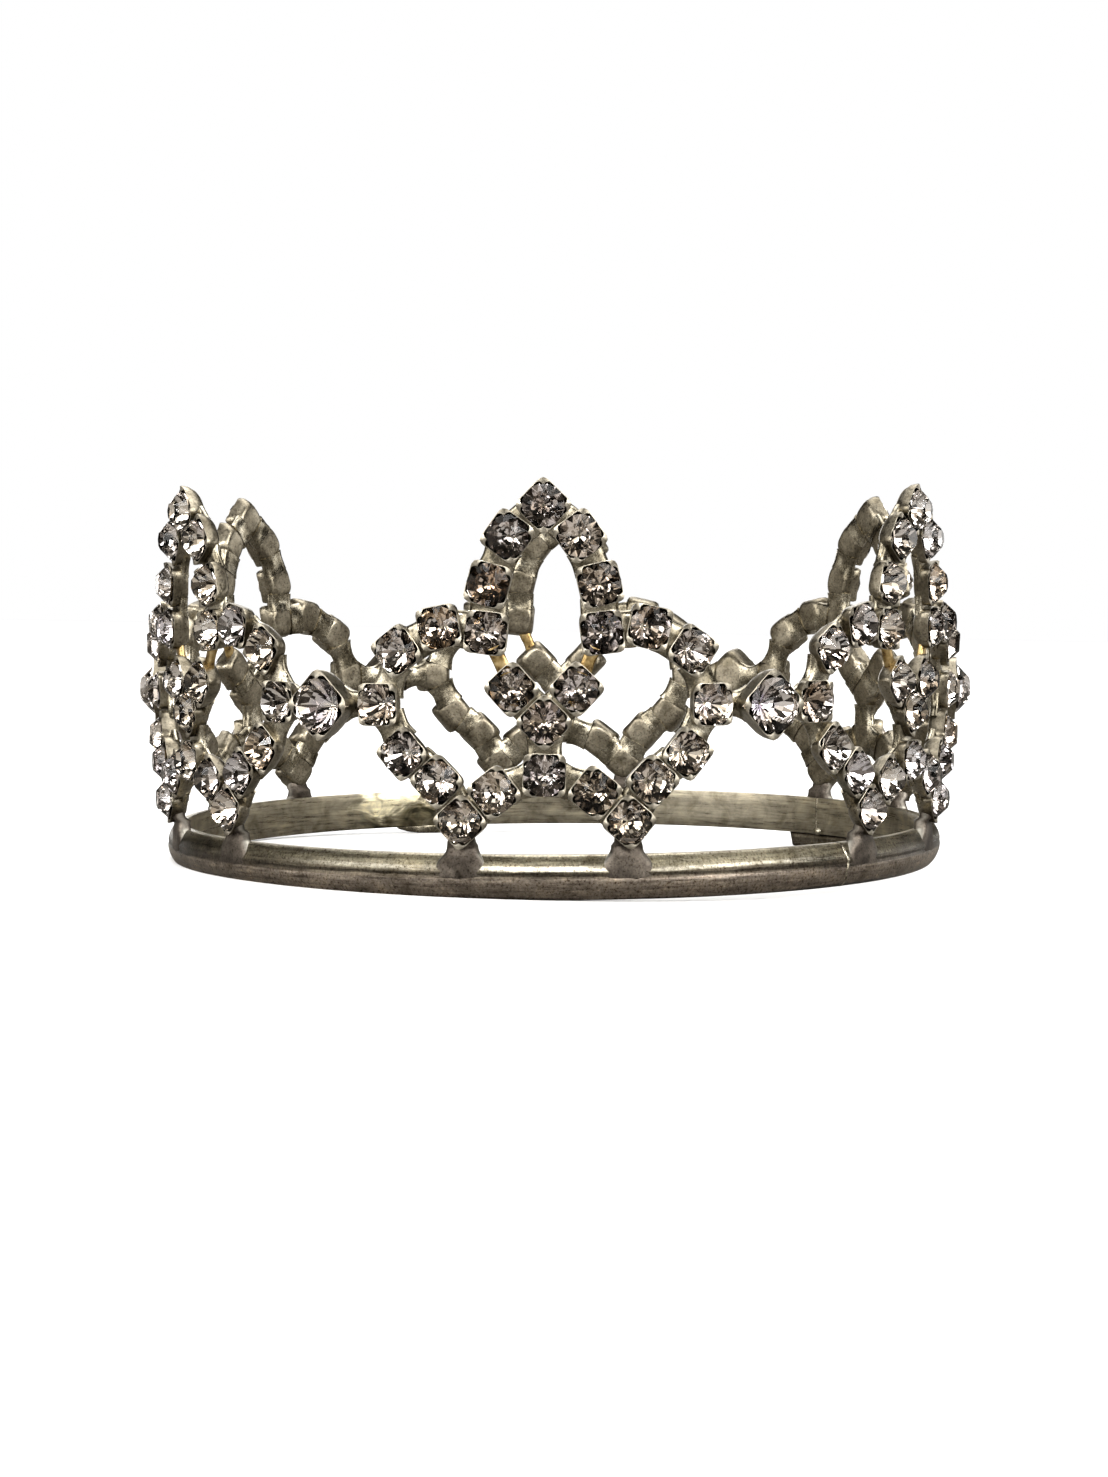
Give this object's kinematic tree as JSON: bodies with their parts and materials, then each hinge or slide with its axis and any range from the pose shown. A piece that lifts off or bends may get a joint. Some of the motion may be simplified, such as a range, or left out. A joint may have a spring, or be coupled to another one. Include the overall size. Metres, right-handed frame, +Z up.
{
  "type": "bridal tiara",
  "caption": "Closed round rhinestone crown tiara with pointed openwork motifs on a half-round base band, worn around a bun or on top of the head.",
  "frame": {"origin": "on the crown's axis, in the plane of the base band's lower edge", "axes": "+Z up along the crown's axis, -Y towards the front motif, +X to the wearer's left as seen from the front"},
  "size_m": [0.097, 0.0948, 0.0449],
  "materials": {
    "band_metal": "aged silver plate",
    "cup_metal": "aged silver plate",
    "solder": "smooth bright solder",
    "tie_wire": "worn to the yellow metal",
    "stone": "faceted clear crystal, foil backed",
    "link_stone": "faceted clear crystal, foil backed"
  },
  "bodies": {
    "root": {"arch_cups_back": "cup_metal", "arch_cups_back_left": "cup_metal", "arch_cups_back_right": "cup_metal", "arch_cups_front": "cup_metal", "arch_cups_front_left": "cup_metal", "arch_cups_front_right": "cup_metal", "arch_stones_back": "stone", "arch_stones_back_left": "stone", "arch_stones_back_right": "stone", "arch_stones_front": "stone", "arch_stones_front_left": "stone", "arch_stones_front_right": "stone", "band_infill": "band_metal", "band_main": "band_metal", "feet_back": "solder", "feet_back_left": "solder", "feet_back_right": "solder", "feet_front": "solder", "feet_front_left": "solder", "feet_front_right": "solder", "heart_cups_back": "cup_metal", "heart_cups_back_left": "cup_metal", "heart_cups_back_right": "cup_metal", "heart_cups_front": "cup_metal", "heart_cups_front_left": "cup_metal", "heart_cups_front_right": "cup_metal", "heart_stones_back": "stone", "heart_stones_back_left": "stone", "heart_stones_back_right": "stone", "heart_stones_front": "stone", "heart_stones_front_left": "stone", "heart_stones_front_right": "stone", "joint_plate": "band_metal", "link_cups": "cup_metal", "link_stones": "link_stone", "repair_solder": "solder", "scroll_cups_back": "cup_metal", "scroll_cups_back_left": "cup_metal", "scroll_cups_back_right": "cup_metal", "scroll_cups_front": "cup_metal", "scroll_cups_front_left": "cup_metal", "scroll_cups_front_right": "cup_metal", "scroll_stones_back": "stone", "scroll_stones_back_left": "stone", "scroll_stones_back_right": "stone", "scroll_stones_front": "stone", "scroll_stones_front_left": "stone", "scroll_stones_front_right": "stone", "solder_back": "solder", "solder_back_left": "solder", "solder_back_right": "solder", "solder_front": "solder", "solder_front_left": "solder", "solder_front_right": "solder", "ties_back": "tie_wire", "ties_back_left": "tie_wire", "ties_back_right": "tie_wire", "ties_front": "tie_wire", "ties_front_left": "tie_wire", "ties_front_right": "tie_wire"}
  },
  "joints": []
}
